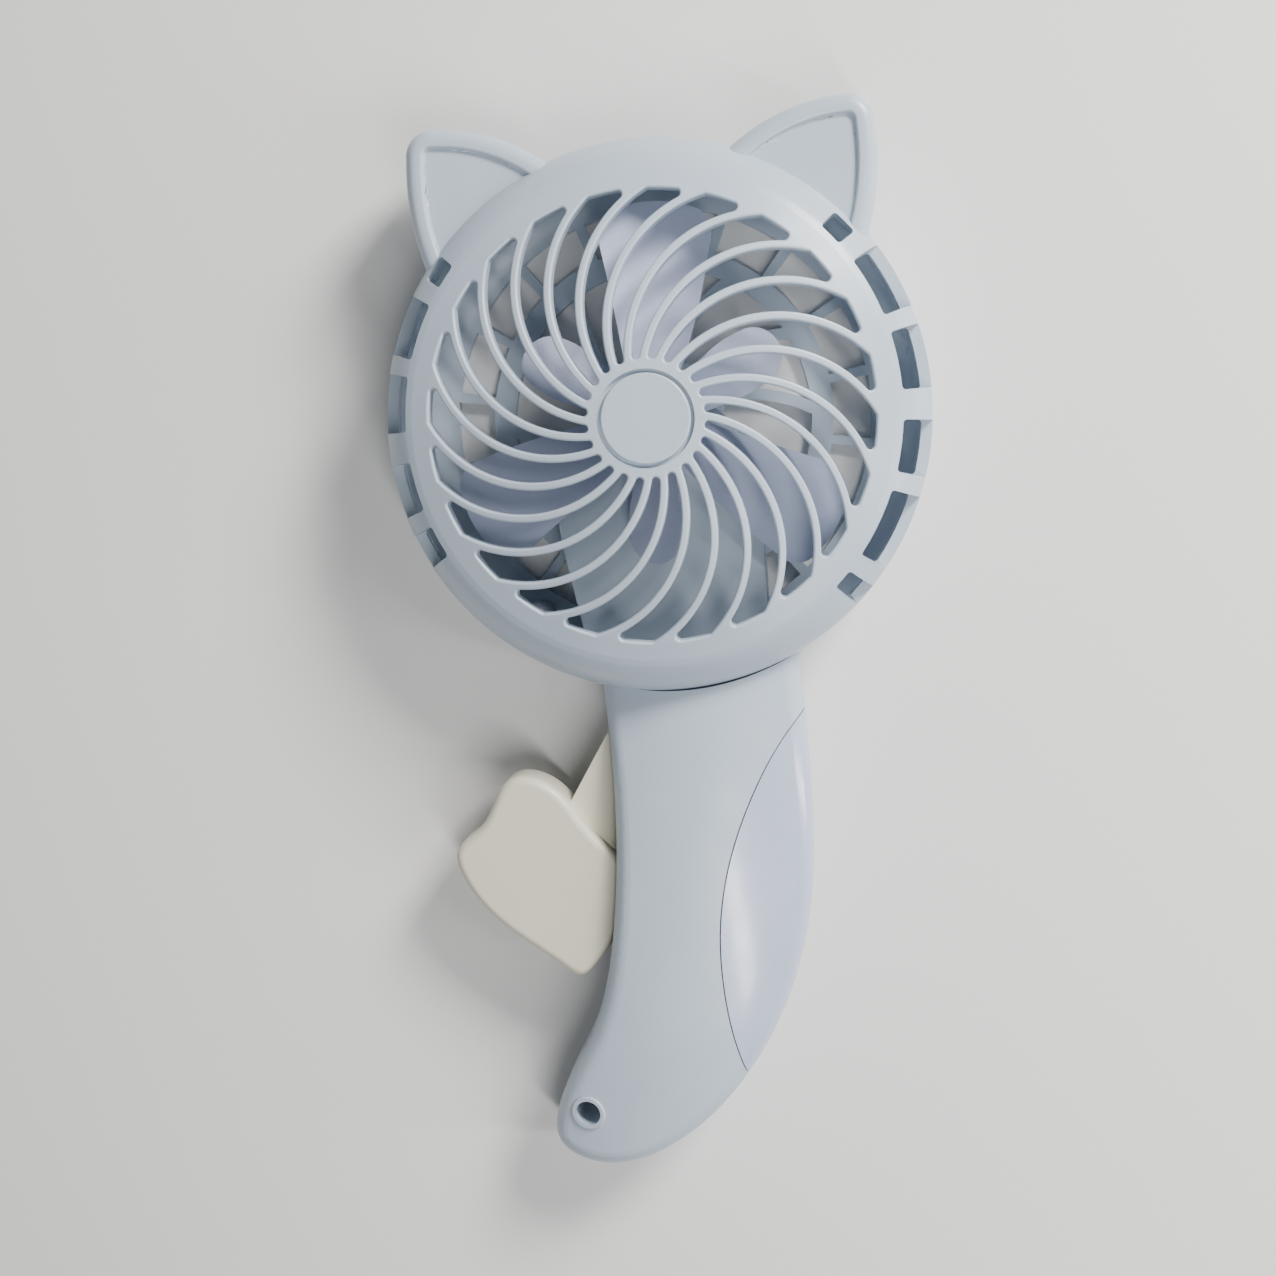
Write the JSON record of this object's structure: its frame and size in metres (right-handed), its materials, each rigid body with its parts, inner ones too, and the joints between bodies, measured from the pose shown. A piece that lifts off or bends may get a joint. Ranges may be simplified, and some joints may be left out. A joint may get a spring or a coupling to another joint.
{
  "type": "hand fan",
  "caption": "Squeeze-lever hand fan with a round caged head, animal ears, a curved handle and a step-up gear train that spins the blades.",
  "frame": {"origin": "where the fan axis meets the flat back of the rear grille, on which the object rests", "axes": "+Z is the fan axis towards the front, +Y points from the handle to the ears, +X to the side of the glossy insert"},
  "size_m": [0.102, 0.2009, 0.0345],
  "materials": {
    "blue_plastic": "satin moulded, pale blue-grey",
    "gloss_blue_plastic": "polished, pale lavender blue",
    "cream_plastic": "satin moulded, warm cream white",
    "blade_plastic": "satin moulded, pale lavender blue",
    "gear_nylon": "natural nylon",
    "bush_brass": "turned",
    "pin_steel": "ground",
    "spring_steel": "drawn wire",
    "screw_steel": "zinc plated",
    "black_rubber": "moulded"
  },
  "bodies": {
    "root": {"front_grille": "blue_plastic", "hub_cap": "blue_plastic", "front_shell": "blue_plastic", "rear_shell": "blue_plastic", "grip_panel": "gloss_blue_plastic", "lever_pin": "pin_steel", "return_spring": "spring_steel", "stop_bumper": "black_rubber", "gear_axle_1": "pin_steel", "gear_axle_2": "pin_steel", "gear_washers": "gear_nylon", "rear_bush": "bush_brass", "front_bush": "bush_brass", "shell_screws": "screw_steel", "head_screws": "screw_steel"},
    "lever": {"squeeze_lever": "cream_plastic"},
    "gear_1": {"compound_gear_1": "gear_nylon"},
    "gear_2": {"compound_gear_2": "gear_nylon"},
    "fan": {"fan_pinion": "gear_nylon", "clutch_dog": "gear_nylon", "clutch_spring": "spring_steel", "fan_shaft": "pin_steel", "impeller": "blade_plastic", "shaft_cap": "gear_nylon"}
  },
  "joints": [
    {"name": "lever_squeeze", "type": "hinge", "parent": "root", "child": "lever", "pos_m": [0.00499, -0.044, 0.0105], "axis": [0, 0, 1], "range_deg": [0, 24], "stiffness_Nm_per_rad": 0.25, "springref_deg": -20.05, "deforming": ["return_spring"]},
    {"name": "gear_1_turn", "type": "hinge", "parent": "root", "child": "gear_1", "pos_m": [0.00533, -0.02201, 0.0074], "axis": [0, 0, 1], "range_deg": [-108.5, 0.5]},
    {"name": "gear_2_turn", "type": "hinge", "parent": "root", "child": "gear_2", "pos_m": [-0.005, -0.01286, 0.0036], "axis": [0, 0, 1], "range_deg": [-0.5, 389.5]},
    {"name": "fan_spin", "type": "hinge", "parent": "root", "child": "fan", "pos_m": [0, 0, 0.02], "axis": [0, 0, 1], "range_deg": [-1401, 0.5]}
  ],
  "couplings": [
    {"joint": "gear_1_turn", "follows": "lever_squeeze", "ratio": -4.5},
    {"joint": "gear_2_turn", "follows": "lever_squeeze", "ratio": 16.2},
    {"joint": "fan_spin", "follows": "lever_squeeze", "ratio": -58.32}
  ]
}
